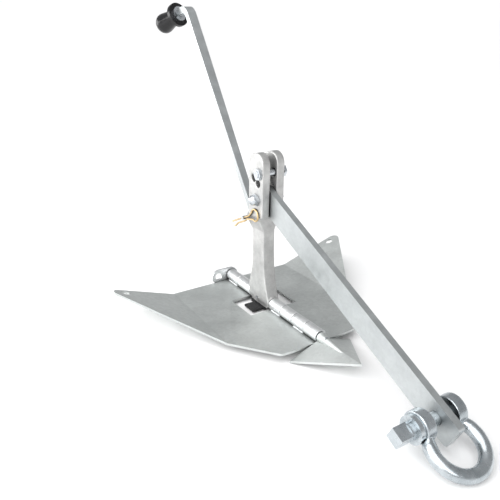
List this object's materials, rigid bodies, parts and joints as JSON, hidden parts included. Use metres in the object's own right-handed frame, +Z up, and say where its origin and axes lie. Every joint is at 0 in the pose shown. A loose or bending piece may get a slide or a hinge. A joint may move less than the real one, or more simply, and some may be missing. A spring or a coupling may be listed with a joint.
{
  "type": "folding plow anchor",
  "caption": "Folding plow anchor with hinged steel flukes, a forged fork shank, a pivoting arm with a bow shackle, and a gripped lever.",
  "frame": {"origin": "centre of the whole object's box, on the ground it stands on", "axes": "+X forward towards the shackle, +Y to the anchor's left, +Z up"},
  "size_m": [0.8773, 0.5026, 0.5251],
  "materials": {
    "galvanised_plate": "hot-dip galvanised, dull",
    "zinc_bar": "zinc, satin",
    "forged_zinc": "forged and galvanised, rough",
    "shackle_zinc": "bright zinc",
    "bright_zinc": "bright zinc",
    "black_rubber": "glossy",
    "dark_steel": "satin",
    "yellow_zinc": "yellow zinc"
  },
  "bodies": {
    "root": {"shank_stem": "forged_zinc", "shank_fork": "forged_zinc", "foot_pad": "black_rubber", "hinge_rod": "bright_zinc", "shank_cross_pin": "bright_zinc", "tail_tab": "galvanised_plate", "tail_nut": "bright_zinc", "nose_plate": "galvanised_plate", "nose_socket": "galvanised_plate", "pivot_bolt": "bright_zinc", "pivot_cap_nut": "bright_zinc", "arm_spacers": "bright_zinc", "stop_bolt": "bright_zinc", "stop_nut": "bright_zinc", "lock_pin": "bright_zinc"},
    "right_fluke": {"right_panel": "galvanised_plate", "right_wing": "galvanised_plate", "right_knuckles": "zinc_bar"},
    "left_fluke": {"left_panel": "galvanised_plate", "left_wing": "galvanised_plate", "left_knuckles": "zinc_bar"},
    "arm": {"arm_bar": "zinc_bar"},
    "shackle": {"shackle_bow": "shackle_zinc"},
    "screw_pin": {"shackle_pin": "shackle_zinc"},
    "lever": {"lever_bar": "zinc_bar", "grip_washer": "bright_zinc", "grip_flange": "black_rubber", "grip_sleeve": "black_rubber", "grip_end_cap": "dark_steel"},
    "clip": {"spring_clip": "yellow_zinc"}
  },
  "joints": [
    {"name": "right_fluke_fold", "type": "hinge", "parent": "root", "child": "right_fluke", "pos_m": [-0.09055, 0, 0.01934], "axis": [-0.999, 0, -0.0457], "range_deg": [0, 75]},
    {"name": "left_fluke_fold", "type": "hinge", "parent": "root", "child": "left_fluke", "pos_m": [-0.09055, 0, 0.01934], "axis": [0.999, 0, 0.0457], "range_deg": [0, 75]},
    {"name": "arm_swing", "type": "hinge", "parent": "root", "child": "arm", "pos_m": [-0.05563, 0, 0.21865], "axis": [0, -1, 0], "range_deg": [0, 66]},
    {"name": "shackle_swing", "type": "hinge", "parent": "arm", "child": "shackle", "pos_m": [0.35743, 0, 0.04263], "axis": [0, 1, 0], "range_deg": [-150, 145]},
    {"name": "screw_pin_turn", "type": "hinge", "parent": "shackle", "child": "screw_pin", "pos_m": [0.35743, -0.05, 0.04263], "axis": [0, -1, 0], "range_deg": [0, 340]},
    {"name": "lever_swing", "type": "hinge", "parent": "root", "child": "lever", "pos_m": [-0.09562, 0, 0.17377], "axis": [0, 1, 0], "range_deg": [0, 37]},
    {"name": "clip_pull", "type": "slide", "parent": "root", "child": "clip", "axis": [0.8979, 0, 0.4403], "range_m": [0, 0.046]}
  ]
}
